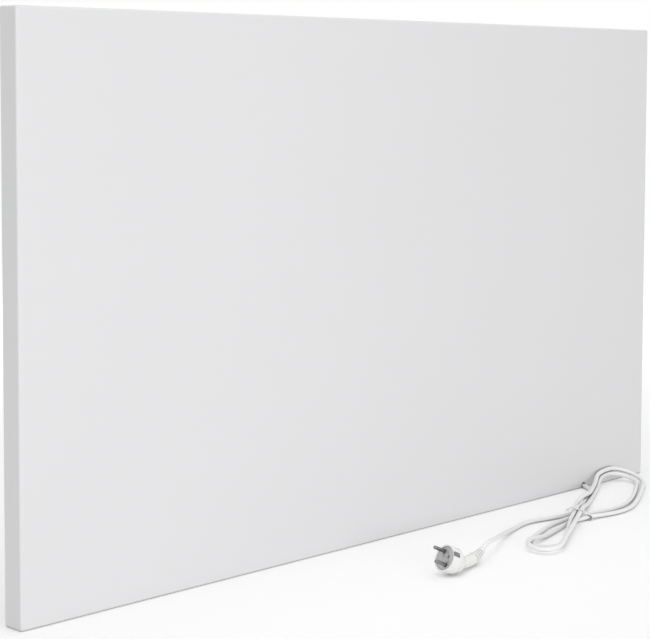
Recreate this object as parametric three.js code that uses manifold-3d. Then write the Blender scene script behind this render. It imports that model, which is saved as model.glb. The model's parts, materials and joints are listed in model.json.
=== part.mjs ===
// A slim far-infrared panel heater: a folded steel tray with a plain flat front, a foil heating
// element and insulation inside it, a pressed rear cover with four wall hangers and a terminal box,
// and a mains lead that leaves under the bottom edge, lies in a tied hank and ends in its plug.
// Millimetres, +Z up. The heater stands on its long bottom edge and its front faces -Y.
// The origin is on the floor, at the middle of the heater's width and depth.

import * as THREE from "three";
import { mergeVertices } from "three/addons/utils/BufferGeometryUtils.js";
import Module from "manifold-3d";

const wasm = await Module();
wasm.setup();

// ---------------------------------------------------------------- driving dimensions

// the panel
const panelWidth = 1200;
const panelHeight = 700;
const trayDepth = 30;
const traySheet = 1.0;
const foldRadius = 2.7;
const outlineRadius = 3;
const lipWidth = 12;
const mitreSlit = 1.2;

// the layers in the tray
const layerMargin = 20;
const filmThickness = 0.4;
const trackThickness = 0.3;
const trackWidth = 24;
const trackPitch = 44;
const trackMargin = 16;
const foilThickness = 0.2;
const padHole = 4;

// the cut-outs in the board, from the terminal box
const firstCutoutReach = 560.7;
const secondCutoutReach = 240.7;
const cutoutRadius = 8;
const cutoutDepth = 7;
const cutoutTabSpan = 22;
const pocketWidth = 28;
const pocketHeight = 24;
const channelWidth = 8;
const channelDepth = 7;
const leadSpread = 2.6;

// the rear cover
const coverSheet = 0.8;
const coverMargin = 4;
const coverRadius = 6;
const beadHeight = 2.4;
const beadWidth = 18;
const beadMargin = 190;
const beadCount = 3;
const beadPitch = 130;

// fasteners
const screwEndInset = 60;
const screwShank = 3.8;
const screwHead = 7.2;
const screwHeadHeight = 2.2;
const screwLength = 5;

// the wall hangers
const hangerDepth = 24.7;
const hangerSheet = 1.5;
const hangerWidth = 72;
const hangerBridge = 42;
const hangerHeight = 44;
const hangerSlot = 6.6;
const hangerSlotLength = 20;
const hangerInset = 250;
const hangerDrop = 130;

// the terminal box
const boxWidth = 86;
const boxHeight = 56;
const boxDepth = 18;
const boxWall = 2.2;
const boxRadius = 5;
const boxBottom = 95;
const gasketThickness = 1.2;
const lidThickness = 2.2;
const lidScrewShank = 3;
const lidScrewInset = 6;
const leadHole = 12;
const terminalHeight = 16;
const terminalDepth = 13;

// the lead and its outlet
const cordDiameter = 6.4;
const coreDiameter = 2.2;
const elementLeadDiameter = 2.4;
const glandFromRight = 151.5;
const outletFromRight = 152.2;
const outletWidth = 11;
const outletHeightFront = 9;
const outletHeightRear = 20;
const linerWall = 1.5;
const sleeveLength = 30;

// the plug
const plugRadius = 18.5;
const plugHousing = 20;
const plugShoulder = 14;
const plugNeckRadius = 8;
const plugNeck = 13;
const reliefRibs = 5;
const reliefPitch = 4.6;
const reliefTipRadius = 4.4;
const pinDiameter = 4.8;
const pinLength = 19;
const pinSpacing = 19;
const plugRoll = THREE.MathUtils.degToRad(-25);

// clearances
const seat = 0.3;
const slip = 0.3;

// ---------------------------------------------------------------- places worked out from them

const coverFront = trayDepth + seat;
const coverRear = coverFront + coverSheet;
const hangerFront = coverRear + seat;
const wallPlane = hangerFront + hangerDepth;
const boxFront = coverRear + seat;
const boxCentreX = panelWidth - glandFromRight;
const outletX = panelWidth - outletFromRight;
const boxMiddle = boxFront + boxDepth / 2;

const frontFilmFront = traySheet + seat;
const trackFront = frontFilmFront + filmThickness + seat;
const rearFilmFront = trackFront + trackThickness + seat;
const foilFront = rearFilmFront + filmThickness + seat;
const boardFront = foilFront + foilThickness + seat;
const boardRear = coverFront - seat;

// ---------------------------------------------------------------- finishes

function finish(colour, roughness, metalness = 0) {
  return new THREE.MeshStandardMaterial({ color: colour, roughness, metalness });
}

const whitePaint = finish(0xe9eae9, 0.5);
const zincSteel = finish(0xb9bcbd, 0.42, 0.9);
const brightSteel = finish(0xcfd2d3, 0.25, 1);
const brass = finish(0xc8a95a, 0.3, 1);
const whitePlastic = finish(0xeeeeec, 0.4);
const whiteSheath = finish(0xf0f0ee, 0.45);
const greyPlastic = finish(0x9a9c9e, 0.5);
const blackRubber = finish(0x26272a, 0.8);
const clearFilm = finish(0xc98f3c, 0.35);
const resistanceFoil = finish(0x55585c, 0.4, 0.8);
const brightFoil = finish(0xd8dadb, 0.2, 1);
const mineralWool = finish(0xcdbf8e, 0.95);
const brownCore = finish(0x6a4326, 0.5);
const blueCore = finish(0x2c5fa8, 0.5);
const greenCore = finish(0x7c9c35, 0.5);

// ---------------------------------------------------------------- solids and outlines

// The heater's own frame: x from its left edge, y from its front face to the wall, z from the floor.
const heater = new THREE.Group();
heater.position.set(-panelWidth / 2, -wallPlane / 2, 0);

const model = new THREE.Group();
model.add(heater);

function addPart(name, geometry, material, parent = heater) {
  const mesh = new THREE.Mesh(geometry, material);
  mesh.name = name;
  parent.add(mesh);
  return mesh;
}

// A geometry as a solid that can be cut and joined.
function solidOf(geometry) {
  const bare = geometry.clone();
  bare.deleteAttribute("normal");
  bare.deleteAttribute("uv");
  const welded = mergeVertices(bare, 1e-4);
  return new wasm.Manifold(new wasm.Mesh({
    numProp: 3,
    vertProperties: Float32Array.from(welded.attributes.position.array),
    triVerts: Uint32Array.from(welded.index.array),
  }));
}

function geometryOf(solid) {
  const mesh = solid.getMesh();
  const geometry = new THREE.BufferGeometry();
  geometry.setAttribute("position", new THREE.BufferAttribute(mesh.vertProperties, 3));
  geometry.setIndex(new THREE.BufferAttribute(mesh.triVerts, 1));
  geometry.computeVertexNormals();
  return geometry;
}

function fused(geometries) {
  return geometryOf(geometries.map(solidOf).reduce((whole, piece) => whole.add(piece)));
}

function cut(geometry, cutters) {
  return geometryOf(cutters.map(solidOf).reduce((rest, cutter) => rest.subtract(cutter), solidOf(geometry)));
}

// A closed skin over rings of equal counts of points, with a flat cap at each end.
function skin(rings) {
  const count = rings[0].length;
  const positions = rings.flat().flatMap((point) => [point.x, point.y, point.z]);
  const faces = [];
  for (let r = 0; r + 1 < rings.length; r += 1) {
    for (let i = 0; i < count; i += 1) {
      const a = r * count + i;
      const b = r * count + ((i + 1) % count);
      faces.push(a, b, b + count, a, b + count, a + count);
    }
  }
  const last = (rings.length - 1) * count;
  for (let i = 1; i + 1 < count; i += 1) {
    faces.push(0, i + 1, i, last, last + i, last + i + 1);
  }
  const at = (index) => new THREE.Vector3().fromArray(positions, index * 3);
  let volume = 0;
  for (let f = 0; f < faces.length; f += 3) {
    volume += at(faces[f]).dot(at(faces[f + 1]).cross(at(faces[f + 2])));
  }
  if (volume < 0) {
    faces.reverse();
  }
  const geometry = new THREE.BufferGeometry();
  geometry.setAttribute("position", new THREE.Float32BufferAttribute(positions, 3));
  geometry.setIndex(faces);
  geometry.computeVertexNormals();
  return geometry;
}

function rectangle(left, bottom, right, top, radius) {
  const shape = new THREE.Shape();
  shape.moveTo(left + radius, bottom);
  shape.lineTo(right - radius, bottom);
  shape.absarc(right - radius, bottom + radius, radius, -Math.PI / 2, 0);
  shape.lineTo(right, top - radius);
  shape.absarc(right - radius, top - radius, radius, 0, Math.PI / 2);
  shape.lineTo(left + radius, top);
  shape.absarc(left + radius, top - radius, radius, Math.PI / 2, Math.PI);
  shape.lineTo(left, bottom + radius);
  shape.absarc(left + radius, bottom + radius, radius, Math.PI, Math.PI * 1.5);
  return shape;
}

// The outline of a margin inside the panel's edges.
function insetOutline(margin, radius) {
  return rectangle(margin, margin, panelWidth - margin, panelHeight - margin, radius);
}

// An outline in x and z, as a plate from one depth to another.
function plate(shape, front, rear, curveSegments = 4) {
  const options = { depth: rear - front, bevelEnabled: false, curveSegments };
  return new THREE.ExtrudeGeometry(shape, options).rotateX(Math.PI / 2).translate(0, rear, 0);
}

// An outline in x and y, as an upright prism.
function prism(shape, bottom, top, curveSegments = 4) {
  const options = { depth: top - bottom, bevelEnabled: false, curveSegments };
  return new THREE.ExtrudeGeometry(shape, options).translate(0, 0, bottom);
}

function block(left, front, bottom, right, rear, top) {
  const box = new THREE.BoxGeometry(right - left, rear - front, top - bottom);
  return box.translate((left + right) / 2, (front + rear) / 2, (bottom + top) / 2);
}

// A round rod along the depth.
function rod(x, z, diameter, front, rear, sides = 12) {
  const cylinder = new THREE.CylinderGeometry(diameter / 2, diameter / 2, rear - front, sides);
  return cylinder.translate(x, (front + rear) / 2, z);
}

// A cutter for a hole that clears a shank all round.
function bore(x, z, shank, front, rear, sides = 12) {
  return rod(x, z, (shank + 2 * slip) / Math.cos(Math.PI / sides), front, rear, sides);
}

function flatPoints(list) {
  return list.map(([across, along]) => new THREE.Vector2(across, along));
}

// A profile of [radius, height] points turned about z.
function turned(profile, sides = 16) {
  return new THREE.LatheGeometry(flatPoints(profile), sides).rotateX(Math.PI / 2);
}

// A profile turned about the depth axis: heights are depths, to the rear.
function turnedAcross(profile, x, z, sides = 12) {
  return new THREE.LatheGeometry(flatPoints(profile), sides).translate(x, 0, z);
}

function vectors(list) {
  return list.map(([x, y, z]) => new THREE.Vector3(x, y, z));
}

// A round tube along a curve, with flat ends square to it.
function tube(curve, diameter, steps, sides) {
  const section = new THREE.Shape();
  for (let i = 0; i < sides; i += 1) {
    const angle = (2 * Math.PI * i) / sides;
    section[i ? "lineTo" : "moveTo"]((diameter / 2) * Math.cos(angle), (diameter / 2) * Math.sin(angle));
  }
  section.closePath();
  return new THREE.ExtrudeGeometry(section, { steps, extrudePath: curve, bevelEnabled: false });
}

function smooth(points) {
  return new THREE.CatmullRomCurve3(points, false, "centripetal");
}

// A wire that runs straight between its points, with a rounded corner at each.
function wire(points, diameter, corner, sides = 6) {
  const path = [points[0]];
  for (let i = 1; i + 1 < points.length; i += 1) {
    const start = points[i].clone().addScaledVector(points[i - 1].clone().sub(points[i]).normalize(), corner);
    const end = points[i].clone().addScaledVector(points[i + 1].clone().sub(points[i]).normalize(), corner);
    path.push(...new THREE.QuadraticBezierCurve3(start, points[i], end).getPoints(3));
  }
  path.push(points[points.length - 1]);
  const side = new THREE.Vector3(0.3, 0.2, 1);
  return skin(path.map((point, i) => {
    const before = path[Math.max(i - 1, 0)];
    const after = path[Math.min(i + 1, path.length - 1)];
    const along = after.clone().sub(before).normalize();
    side.addScaledVector(along, -side.dot(along)).normalize();
    return Array.from({ length: sides }, (_, k) => {
      const spoke = side.clone().applyAxisAngle(along, (2 * Math.PI * k) / sides);
      return spoke.multiplyScalar(diameter / 2).add(point);
    });
  }));
}

// ---------------------------------------------------------------- the folded front tray

// A rounded rectangle ring, at a depth and a distance inside the panel's outline.
function trayRing(depth, inset) {
  const radius = Math.max(outlineRadius - inset, 0.4);
  const outline = insetOutline(inset, radius);
  return outline.getPoints(4).slice(0, -1).map((point) => new THREE.Vector3(point.x, depth, point.y));
}

function foldArc(inner) {
  const rings = [];
  const radius = inner ? foldRadius - traySheet : foldRadius;
  for (let i = 0; i <= 4; i += 1) {
    const angle = (Math.PI / 2) * (i / 4);
    rings.push(trayRing(foldRadius - radius * Math.cos(angle), foldRadius - radius * Math.sin(angle)));
  }
  return rings;
}

function archCutter(front, rear, width, height, bottom = -1) {
  const arch = new THREE.Shape();
  arch.moveTo(outletX - width / 2, bottom);
  arch.lineTo(outletX + width / 2, bottom);
  arch.lineTo(outletX + width / 2, height - width / 2);
  arch.absarc(outletX, height - width / 2, width / 2, 0, Math.PI);
  return plate(arch, front, rear);
}

function mitreCutters() {
  const reach = lipWidth * Math.SQRT2;
  const cutters = [];
  for (const [x, z, turn] of [[0, 0, 1], [1, 0, 3], [1, 1, 5], [0, 1, 7]]) {
    const slit = new THREE.BoxGeometry(reach, 3 * traySheet, mitreSlit);
    slit.translate(reach / 2 + 2 * traySheet * Math.SQRT2, 0, 0).rotateY(-(turn * Math.PI) / 4);
    cutters.push(slit.translate(x * panelWidth, trayDepth, z * panelHeight));
  }
  return cutters;
}

// Holes round the edge for the rear cover's screws, in the cover and in the tray's lips alike.
const screwInset = coverMargin + lipWidth / 3;

function screwSpots() {
  const along = [screwEndInset, panelWidth / 2, panelWidth - screwEndInset];
  return [
    ...along.map((x) => [x, panelHeight - screwInset]),
    ...along.map((x) => [x, screwInset]),
    [screwInset, panelHeight / 2],
    [panelWidth - screwInset, panelHeight / 2],
  ];
}

function frontPanel() {
  const outer = [...foldArc(false), trayRing(trayDepth, 0)];
  const lip = [trayRing(trayDepth, lipWidth), trayRing(trayDepth - traySheet, lipWidth)];
  const inner = [trayRing(trayDepth - traySheet, traySheet), ...foldArc(true).reverse()];
  const tray = skin([...outer, ...lip, ...inner]);
  return cut(tray, [
    archCutter(-1, trayDepth / 2, outletWidth, outletHeightFront),
    archCutter(trayDepth / 2 - 1, trayDepth + 1, outletWidth, outletHeightRear),
    ...mitreCutters(),
    ...screwSpots().map(([x, z]) => bore(x, z, screwShank, trayDepth - 3, trayDepth + 1)),
  ]);
}

const linerBore = outletWidth + 2 * slip;
const linerShell = linerBore + 2 * linerWall;

// The moulded liner of the lead's passage: an inverted trough that widens to the rear.
function outletLiner() {
  const front = foldRadius + seat;
  const rear = trayDepth - traySheet - seat;
  const bottom = traySheet + seat;
  const archRing = (depth, width, height, base) => {
    const ring = [new THREE.Vector3(outletX + width / 2, depth, base)];
    for (let i = 0; i <= 8; i += 1) {
      const angle = (Math.PI * i) / 8;
      const x = outletX + (width / 2) * Math.cos(angle);
      ring.push(new THREE.Vector3(x, depth, height - width / 2 + (width / 2) * Math.sin(angle)));
    }
    ring.push(new THREE.Vector3(outletX - width / 2, depth, base));
    return ring;
  };
  const outside = skin([
    archRing(front, linerShell, outletHeightFront + linerWall, bottom),
    archRing(rear, linerShell, outletHeightRear + linerWall, bottom),
  ]);
  const inside = skin([
    archRing(front - 0.1, linerBore, outletHeightFront, bottom - 2),
    archRing(rear + 0.1, linerBore, outletHeightRear, bottom - 2),
  ]);
  return cut(outside, [inside]);
}

addPart("front_panel", frontPanel(), whitePaint);
addPart("cord_outlet_liner", outletLiner(), greyPlastic);

// ---------------------------------------------------------------- the heating element

const trackLeft = layerMargin + trackMargin;
const trackBottom = layerMargin + trackMargin;
const trackTop = panelHeight - layerMargin - trackMargin;
const trackSpan = panelWidth - 2 * trackLeft - trackWidth;
const trackRuns = 2 * Math.floor(trackSpan / trackPitch / 2);
const runPitch = trackSpan / (trackRuns - 1);
const padZ = trackBottom + trackWidth;
const leftPadX = trackLeft + trackWidth / 2;
const rightPadX = panelWidth - leftPadX;

// One strip folded up and down the panel: its edge on the way there, then its edge on the way back.
function heatingTrack() {
  const there = [];
  const back = [];
  for (let run = 0; run < trackRuns; run += 1) {
    const left = trackLeft + run * runPitch;
    const right = left + trackWidth;
    const inner = trackBottom + trackWidth;
    if (run % 2 === 0) {
      there.push([left, run === 0 ? trackBottom : inner], [left, trackTop]);
      back.push([right, trackBottom], [right, trackTop - trackWidth]);
    } else {
      there.push([right, trackTop], [right, run === trackRuns - 1 ? trackBottom : inner]);
      back.push([left, trackTop - trackWidth], [left, trackBottom]);
    }
  }
  const outline = [...there, ...back.reverse()].map(([x, z]) => new THREE.Vector2(x, z));
  return plate(new THREE.Shape(outline), trackFront, trackFront + trackThickness);
}

function padHoles(front, rear, diameter) {
  return [leftPadX, rightPadX].map((x) => rod(x, padZ, diameter, front - 0.1, rear + 0.1, 8));
}

function layer(front, thickness, holed) {
  const sheet = plate(insetOutline(layerMargin, outlineRadius), front, front + thickness);
  return holed ? cut(sheet, padHoles(front, front + thickness, padHole)) : sheet;
}

addPart("front_film", layer(frontFilmFront, filmThickness, false), clearFilm);
addPart("heating_track", heatingTrack(), resistanceFoil);
addPart("rear_film", layer(rearFilmFront, filmThickness, true), clearFilm);
addPart("reflective_foil", layer(foilFront, foilThickness, true), brightFoil);

// ---------------------------------------------------------------- the hangers' and beads' places

const hangers = [
  ["hanger_upper_left", hangerInset, panelHeight - hangerDrop],
  ["hanger_upper_right", panelWidth - hangerInset, panelHeight - hangerDrop],
  ["hanger_lower_left", hangerInset, hangerDrop],
  ["hanger_lower_right", panelWidth - hangerInset, hangerDrop],
];

// ---------------------------------------------------------------- the insulation board

const boxMidZ = boxBottom + boxHeight / 2;
const leadHoleZ = boxBottom + boxHeight - boxWall - 1 - leadHole / 2;
const channelY = boardFront + channelDepth / 2 + 0.5;
const cutoutSpots = [boxCentreX - firstCutoutReach, boxCentreX - secondCutoutReach];

function insulationBoard() {
  const board = plate(insetOutline(layerMargin, outlineRadius), boardFront, boardRear);
  const channelRear = boardFront + channelDepth + 1;
  const half = channelWidth / 2;
  const pocketRear = boardFront + cutoutDepth + 2;
  const pockets = cutoutSpots.map((x) => block(
    x - pocketWidth / 2, boardFront - 1, padZ - pocketHeight / 2,
    x + pocketWidth / 2, pocketRear, padZ + pocketHeight / 2));
  return cut(board, [
    block(leftPadX - half, boardFront - 1, padZ - half, rightPadX + half, channelRear, padZ + half),
    block(boxCentreX - half, boardFront - 1, padZ, boxCentreX + half, channelRear, leadHoleZ + half),
    rod(boxCentreX, leadHoleZ, leadHole, boardFront, boardRear + 1, 10),
    archCutter(boardFront - 1, boardRear + 1, linerShell + 2 * seat, outletHeightRear + linerWall + seat),
    ...pockets,
  ]);
}

addPart("insulation_board", insulationBoard(), mineralWool);

// ---------------------------------------------------------------- the cut-outs and the element's leads

// A snap disc with a tab on each side, in its pocket of the board.
function thermalCutout(x) {
  const front = boardFront + 0.5;
  const body = turnedAcross([
    [0, front],
    [cutoutRadius, front],
    [cutoutRadius, front + cutoutDepth - 1.5],
    [cutoutRadius - 1.5, front + cutoutDepth],
    [0, front + cutoutDepth],
  ], x, padZ, 16);
  const tabEnd = cutoutTabSpan / 2;
  const tab = block(x - tabEnd, channelY - 0.4, padZ - 1.6, x + tabEnd, channelY + 0.4, padZ + 1.6);
  return fused([body, tab]);
}

cutoutSpots.forEach((x, i) => addPart(`thermal_cutout_${i + 1}`, thermalCutout(x), blackRubber));

const terminalTop = boxMidZ + terminalHeight / 2;
const terminalBottom = boxMidZ - terminalHeight / 2;
const terminalRear = boxMiddle + terminalDepth / 2;
const tabReach = cutoutTabSpan / 2 + seat;

// From the channel up the board, back through the cover and down on to the terminal block.
function leadToBlock(startX, side) {
  const x = boxCentreX + side * leadSpread;
  return vectors([
    [startX, channelY, padZ],
    [x, channelY, padZ],
    [x, channelY, leadHoleZ + side * 0.8],
    [x, boxMiddle, leadHoleZ + side * 0.8],
    [x, boxMiddle, terminalTop + seat],
  ]);
}

function padLead(x, onward) {
  return [new THREE.Vector3(x, trackFront + trackThickness + seat, padZ), ...onward];
}

const [firstCutout, secondCutout] = cutoutSpots;
const toFirst = vectors([[leftPadX, channelY, padZ], [firstCutout - tabReach, channelY, padZ]]);
const between = vectors([
  [firstCutout + tabReach, channelY, padZ],
  [secondCutout - tabReach, channelY, padZ],
]);
const toBlock = leadToBlock(secondCutout + tabReach, -1);
addPart("live_lead_element", wire(padLead(leftPadX, toFirst), elementLeadDiameter, 2.4), brownCore);
addPart("live_lead_link", tube(new THREE.LineCurve3(...between), elementLeadDiameter, 1, 6), brownCore);
addPart("live_lead_terminal", wire(toBlock, elementLeadDiameter, 4), brownCore);
const neutralPath = padLead(rightPadX, leadToBlock(rightPadX, 1));
addPart("neutral_lead", wire(neutralPath, elementLeadDiameter, 2.4), blueCore);

// ---------------------------------------------------------------- the rear cover

// A pressed bead: a long ridge with round ends and sloping sides.
function bead(front, height, width, length, z) {
  const ring = (depth, inset) => {
    const shape = rectangle(
      panelWidth / 2 - length / 2 + inset, z - width / 2 + inset,
      panelWidth / 2 + length / 2 - inset, z + width / 2 - inset, width / 2 - inset - 0.01);
    return shape.getPoints(5).slice(0, -1).map((point) => new THREE.Vector3(point.x, depth, point.y));
  };
  return skin([ring(front, 0), ring(front + height, height)]);
}

const beadLength = panelWidth - 2 * beadMargin;
const beadHeights = Array.from({ length: beadCount }, (_, i) =>
  panelHeight / 2 + (i - (beadCount - 1) / 2) * beadPitch);

function rearCover() {
  const sheet = plate(insetOutline(coverMargin, coverRadius), coverFront, coverRear);
  const ridges = beadHeights.map((z) => bead(coverRear - 0.2, beadHeight, beadWidth, beadLength, z));
  const hollows = beadHeights.map((z) =>
    bead(coverFront - 0.2, beadHeight, beadWidth - 1.2 * coverSheet, beadLength - 1.2 * coverSheet, z));
  return cut(fused([sheet, ...ridges]), [
    ...hollows,
    archCutter(coverFront - 1, coverRear + 1, outletWidth, outletHeightRear),
    rod(boxCentreX, leadHoleZ, leadHole, coverFront - 1, coverRear + 1, 10),
    ...screwSpots().map(([x, z]) => bore(x, z, screwShank, coverFront - 1, coverRear + 1)),
  ]);
}

// A pan-head screw along the depth, whose head sits on the plane at rear.
function panScrew(x, z, rear, shank, head, headHeight, length, sides) {
  return turnedAcross([
    [0, rear - length],
    [shank / 2 - 0.4, rear - length],
    [shank / 2, rear - length + 0.6],
    [shank / 2, rear + seat],
    [head / 2, rear + seat],
    [head / 2, rear + seat + headHeight * 0.5],
    [head / 3, rear + seat + headHeight],
    [0, rear + seat + headHeight],
  ], x, z, sides);
}

addPart("rear_cover", rearCover(), zincSteel);
screwSpots().forEach(([x, z], i) => {
  const screw = panScrew(x, z, coverRear, screwShank, screwHead, screwHeadHeight, screwLength, 10);
  addPart(`rear_screw_${i + 1}`, screw, brightSteel);
});

// ---------------------------------------------------------------- the wall hangers

// A hat-shaped bracket, open above and below, with a slot that drops over a wall screw.
function hanger(x, z) {
  const t = hangerSheet;
  const flange = hangerWidth / 2;
  const wall = hangerBridge / 2;
  const front = hangerFront;
  const rear = wallPlane;
  const hat = new THREE.Shape([
    [-flange, front], [-wall + t, front], [-wall + t, rear - t], [wall - t, rear - t], [wall - t, front],
    [flange, front], [flange, front + t], [wall, front + t], [wall, rear], [-wall, rear],
    [-wall, front + t], [-flange, front + t],
  ].map(([across, depth]) => new THREE.Vector2(x + across, depth)));
  const bracket = prism(hat, z - hangerHeight / 2, z + hangerHeight / 2);
  const slotTop = z - hangerHeight / 2 + hangerSlotLength;
  const slot = new THREE.Shape();
  slot.moveTo(x - hangerSlot / 2, z - hangerHeight / 2 - 1);
  slot.lineTo(x + hangerSlot / 2, z - hangerHeight / 2 - 1);
  slot.lineTo(x + hangerSlot / 2, slotTop - hangerSlot / 2);
  slot.absarc(x, slotTop - hangerSlot / 2, hangerSlot / 2, 0, Math.PI);
  return cut(bracket, [plate(slot, rear - t - 1, rear + 1)]);
}

for (const [name, x, z] of hangers) {
  addPart(name, hanger(x, z), zincSteel);
}

// ---------------------------------------------------------------- the terminal box

const boxLeft = boxCentreX - boxWidth / 2;
const boxRight = boxCentreX + boxWidth / 2;
const boxTop = boxBottom + boxHeight;
const boxRear = boxFront + boxDepth;
const lidFront = boxRear + gasketThickness + 2 * seat;
const lidRear = lidFront + lidThickness;
const glandThread = 10.4;
const studX = boxRight - 14;
const studZ = boxBottom + 14;

function lidScrewSpots() {
  return [boxLeft + lidScrewInset, boxRight - lidScrewInset].flatMap((x) =>
    [boxBottom + lidScrewInset, boxTop - lidScrewInset].map((z) => [x, z]));
}

function boxOutline(inset) {
  const radius = Math.max(boxRadius - inset, 0.6);
  return rectangle(boxLeft + inset, boxBottom + inset, boxRight - inset, boxTop - inset, radius);
}

function terminalBox() {
  const shell = cut(plate(boxOutline(0), boxFront, boxRear), [
    plate(boxOutline(boxWall), boxFront + boxWall, boxRear + 1),
  ]);
  const bosses = lidScrewSpots().map(([x, z]) => rod(x, z, 8, boxFront + 1, boxRear - 0.01, 10));
  const glandRadius = (glandThread / 2 + slip) / Math.cos(Math.PI / 16);
  const glandHole = new THREE.CylinderGeometry(glandRadius, glandRadius, 3 * boxWall, 16);
  glandHole.rotateX(Math.PI / 2).translate(boxCentreX, boxMiddle, boxBottom);
  return cut(fused([shell, ...bosses]), [
    glandHole,
    rod(boxCentreX, leadHoleZ, leadHole, boxFront - 1, boxFront + boxWall + 1, 10),
    rod(studX, studZ, 11, boxFront - 1, boxFront + boxWall + 1, 10),
    ...lidScrewSpots().map(([x, z]) => bore(x, z, lidScrewShank, boxRear - 9, boxRear + 1)),
  ]);
}

function boxGasket() {
  const ring = boxOutline(0.4);
  ring.holes.push(boxOutline(boxWall));
  const front = boxRear + seat;
  const rear = front + gasketThickness;
  const corners = lidScrewSpots().map(([x, z]) => rod(x, z, 9, front, rear, 10));
  const holes = lidScrewSpots().map(([x, z]) => bore(x, z, lidScrewShank, front - 1, rear + 1));
  return cut(fused([plate(ring, front, rear), ...corners]), holes);
}

function boxLid() {
  const flat = plate(boxOutline(0), lidFront, lidRear - 0.6);
  const raised = plate(boxOutline(1), lidRear - 0.8, lidRear);
  return cut(fused([flat, raised]), lidScrewSpots().map(([x, z]) =>
    bore(x, z, lidScrewShank, lidFront - 1, lidRear + 1)));
}

addPart("terminal_box", terminalBox(), greyPlastic);
addPart("terminal_box_gasket", boxGasket(), blackRubber);
addPart("terminal_box_lid", boxLid(), greyPlastic);
lidScrewSpots().forEach(([x, z], i) =>
  addPart(`lid_screw_${i + 1}`, panScrew(x, z, lidRear, lidScrewShank, 6, 1.5, 10, 10), brightSteel));

// ---------------------------------------------------------------- terminals, cores and earth bond

const wayPitch = 11;
const ways = [-1, 0, 1];
const terminalFront = boxFront + boxWall + seat;

function terminalBlock() {
  const half = (ways.length * wayPitch) / 2 + 1;
  const body = block(
    boxCentreX - half, terminalFront, terminalBottom, boxCentreX + half, terminalRear, terminalTop);
  const screwWells = ways.map((way) =>
    rod(boxCentreX + way * wayPitch, boxMidZ, 5, terminalRear - 5, terminalRear + 1, 10));
  const gaps = [-0.5, 0.5].map((between) => {
    const x = boxCentreX + between * wayPitch;
    return block(x - 0.6, terminalRear - 4, terminalBottom - 1, x + 0.6, terminalRear + 1, terminalTop + 1);
  });
  return cut(body, [...screwWells, ...gaps]);
}

function terminalScrew(way) {
  return turnedAcross([
    [0, terminalRear - 4.7],
    [2.2, terminalRear - 4.7],
    [2.2, terminalRear - 2.4],
    [1.8, terminalRear - 2],
    [0, terminalRear - 2],
  ], boxCentreX + way * wayPitch, boxMidZ, 10);
}

addPart("terminal_block", terminalBlock(), whitePlastic);
ways.forEach((way, i) => addPart(`terminal_screw_${i + 1}`, terminalScrew(way), brass));

const glandTop = boxBottom + boxWall + seat + 4.6;
const coreStart = glandTop + seat;
const coreSpread = 2.7;

// From the gland straight up, then across to its way in the block.
function coreTo(side, endX, endY, endZ) {
  const startX = boxCentreX + side * coreSpread;
  return smooth(vectors([
    [startX, boxMiddle, coreStart],
    [startX, boxMiddle, coreStart + 2.2],
    [(startX + endX) / 2, (boxMiddle + endY) / 2, (coreStart + endZ) / 2],
    [endX, endY, endZ - 2.2],
    [endX, endY, endZ],
  ]));
}

const blockEntry = terminalBottom - seat;
const liveCorePath = coreTo(-1, boxCentreX - wayPitch, boxMiddle, blockEntry);
const neutralCorePath = coreTo(0, boxCentreX, boxMiddle, blockEntry);
addPart("live_core", tube(liveCorePath, coreDiameter, 8, 6), brownCore);
addPart("neutral_core", tube(neutralCorePath, coreDiameter, 4, 6), blueCore);

// A welded stud on the cover, with a nut that clamps the earth core's ring.
const ringFront = boxFront + boxWall + seat;
const ringSheet = 0.8;

function earthCore() {
  const ringShape = new THREE.Shape();
  ringShape.absarc(studX, studZ, 5, 0, 2 * Math.PI);
  const hole = new THREE.Path();
  hole.absarc(studX, studZ, 2.4, 0, 2 * Math.PI);
  ringShape.holes.push(hole);
  const ring = plate(ringShape, ringFront, ringFront + ringSheet, 6);
  const barrelY = ringFront + 2;
  const core = tube(smooth(vectors([
    [boxCentreX + coreSpread, boxMiddle, coreStart],
    [boxCentreX + coreSpread, boxMiddle, coreStart + 2.2],
    [boxCentreX + 9, boxMiddle - 2, coreStart + 6],
    [studX - 12, barrelY + 0.8, studZ + 0.4],
    [studX - 4, barrelY - 0.6, studZ],
    [studX - 3.4, barrelY - 0.6, studZ],
  ])), coreDiameter, 12, 6);
  return fused([ring, core]);
}

function earthStud() {
  return turnedAcross([
    [0, boxFront],
    [4.6, boxFront],
    [4.6, boxFront + 1.6],
    [2, boxFront + 1.6],
    [2, boxFront + 11],
    [1.5, boxFront + 11.6],
    [0, boxFront + 11.6],
  ], studX, studZ, 12);
}

function hexNut(acrossFlats, hole, height) {
  const shape = new THREE.Shape();
  for (let i = 0; i < 6; i += 1) {
    const angle = (Math.PI / 3) * i;
    const radius = acrossFlats / Math.sqrt(3);
    shape[i ? "lineTo" : "moveTo"](radius * Math.cos(angle), radius * Math.sin(angle));
  }
  shape.closePath();
  const round = new THREE.Path();
  round.absarc(0, 0, hole / 2 / Math.cos(Math.PI / 12), 0, 2 * Math.PI);
  shape.holes.push(round);
  return new THREE.ExtrudeGeometry(shape, { depth: height, bevelEnabled: false, curveSegments: 6 });
}

addPart("earth_core", earthCore(), greenCore);
addPart("earth_stud", earthStud(), brightSteel);
const earthNut = hexNut(7, 4 + 2 * slip, 3.2).rotateX(Math.PI / 2);
addPart("earth_nut", earthNut.translate(studX, ringFront + 2.9 + 3.2 + seat, studZ), brass);

// ---------------------------------------------------------------- gland and strain relief

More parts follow.
